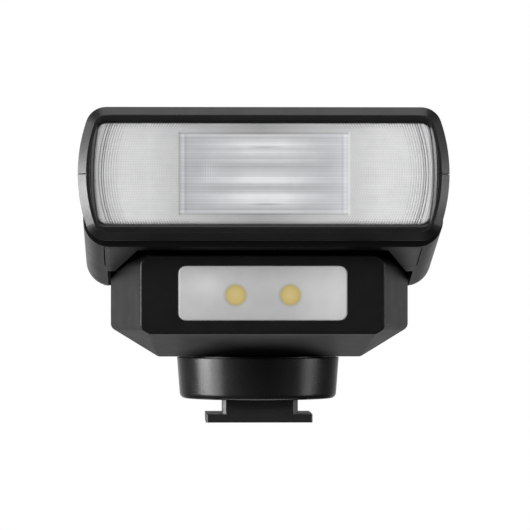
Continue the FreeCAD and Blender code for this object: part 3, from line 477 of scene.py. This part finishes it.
# brightness of the surroundings along Y, from 0 in front to 1 behind
WORLD_LEVELS = ((0.02, 0.06), (0.13, 0.36), (0.50, 0.36), (0.58, 0.12), (0.80, 0.12),
                (0.93, 0.42), (0.985, 0.95))
# name, azimuth, elevation, distance, width, height, radiance
LIGHTS = (("key_left", -70, 5, 1.0, 0.48, 0.9, 6.3),
          ("strip_left", -83, -3, 0.307, 0.12, 0.095, 19.0),
          ("fill_right", 74, 5, 1.0, 0.30, 0.9, 2.5),
          ("strip_right", 81.5, -2, 0.307, 0.10, 0.085, 5.0),
          ("below", 180, -58, 1.0, 0.7, 0.6, 1.9),
          ("overhead", 0, 89, 1.0, 0.8, 0.6, 1.8),
          ("front_high", 0, 33, 1.0, 1.2, 0.5, 2.35))
AIM_HEIGHT = 0.03


def stage_floor():
    """White to the camera, with no part in the lighting of the object."""
    corners = ((-1, -1), (1, -1), (1, 1), (-1, 1))
    points = [(x * FLOOR_HALF, y * FLOOR_HALF, FLOOR_Z) for x, y in corners]
    mat = bpy.data.materials.new("studio_white")
    item = mesh_piece("studio_floor", points, [(0, 1, 2, 3)], mat, smooth=False)
    mat.use_nodes = True
    tree = mat.node_tree
    tree.nodes.clear()
    out = add(tree, "ShaderNodeOutputMaterial")
    white = add(tree, "ShaderNodeEmission", in_Color=(1, 1, 1, 1), in_Strength=1.0)
    link(tree, white, 0, out, 0)
    item.visible_diffuse = item.visible_glossy = False
    item.visible_transmission = item.visible_shadow = False


def studio_world():
    """White to the camera; for the light on the object, dim straight ahead of it and
    brighter at the sides and behind."""
    world = bpy.data.worlds.new("studio")
    bpy.context.scene.world = world
    world.use_nodes = True
    tree = world.node_tree
    tree.nodes.clear()
    out = add(tree, "ShaderNodeOutputWorld")
    mix = add(tree, "ShaderNodeMixShader")
    path = add(tree, "ShaderNodeLightPath")
    white = add(tree, "ShaderNodeBackground", in_0=(1, 1, 1, 1), in_1=1.0)
    place = add(tree, "ShaderNodeTexCoord")
    split = add(tree, "ShaderNodeSeparateXYZ")
    link(tree, place, "Generated", split, 0)
    depth = span(tree, -1.0, 1.0, 0.0, 1.0)
    link(tree, split, "Y", depth, 0)
    around = add(tree, "ShaderNodeValToRGB")
    stops = around.color_ramp.elements
    for position, _ in WORLD_LEVELS[1:-1]:
        stops.new(position)
    for stop, (position, level) in zip(stops, WORLD_LEVELS):
        stop.position, stop.color = position, (level, level, level, 1)
    link(tree, depth, 0, around, 0)
    left = span(tree, -0.35, 0.35, 1.0, 0.75)
    link(tree, split, "X", left, 0)
    horizon = span(tree, -0.36, -0.22, 0.25, 1.0)
    link(tree, split, "Z", horizon, 0)
    dimmed = add(tree, "ShaderNodeMath", operation="MULTIPLY")
    link(tree, around, 0, dimmed, 0)
    link(tree, left, 0, dimmed, 1)
    total = add(tree, "ShaderNodeMath", operation="MULTIPLY")
    link(tree, dimmed, 0, total, 0)
    link(tree, horizon, 0, total, 1)
    light = add(tree, "ShaderNodeBackground", in_0=(1, 1, 1, 1))
    link(tree, total, 0, light, 1)
    link(tree, path, "Is Camera Ray", mix, 0)
    link(tree, light, 0, mix, 1)
    link(tree, white, 0, mix, 2)
    link(tree, mix, 0, out, 0)


def softbox(name, azimuth, elevation, distance, width, height, radiance):
    """Rectangular light aimed at the object; azimuth runs from the front toward +X."""
    data = bpy.data.lights.new(name, "AREA")
    data.shape = "RECTANGLE"
    data.size, data.size_y = width, height
    data.energy = radiance * math.pi * width * height
    item = bpy.data.objects.new(name, data)
    a, e = math.radians(azimuth), math.radians(elevation)
    out = np.array([math.sin(a) * math.cos(e), -math.cos(a) * math.cos(e), math.sin(e)])
    item.location = out * distance + np.array([0, 0, AIM_HEIGHT])
    item.rotation_mode = "QUATERNION"
    item.rotation_quaternion = Vector(out).to_track_quat("Z", "Y")
    item.visible_camera = False
    bpy.context.scene.collection.objects.link(item)


def add_camera():
    data = bpy.data.cameras.new("camera")
    data.sensor_width = 36.0
    data.lens = 249.67
    data.clip_start, data.clip_end = 0.01, 30.0
    item = bpy.data.objects.new("camera", data)
    item.location = (-0.01802, -0.64971, 0.02747)
    item.rotation_euler = (math.radians(90), 0, math.radians(-1.7))
    bpy.context.scene.collection.objects.link(item)
    bpy.context.scene.camera = item


bpy.context.scene.view_settings.view_transform = "Standard"
dress_nodes()
lens_piece()
window_piece()
stage_floor()
studio_world()
for light in LIGHTS:
    softbox(*light)
add_camera()
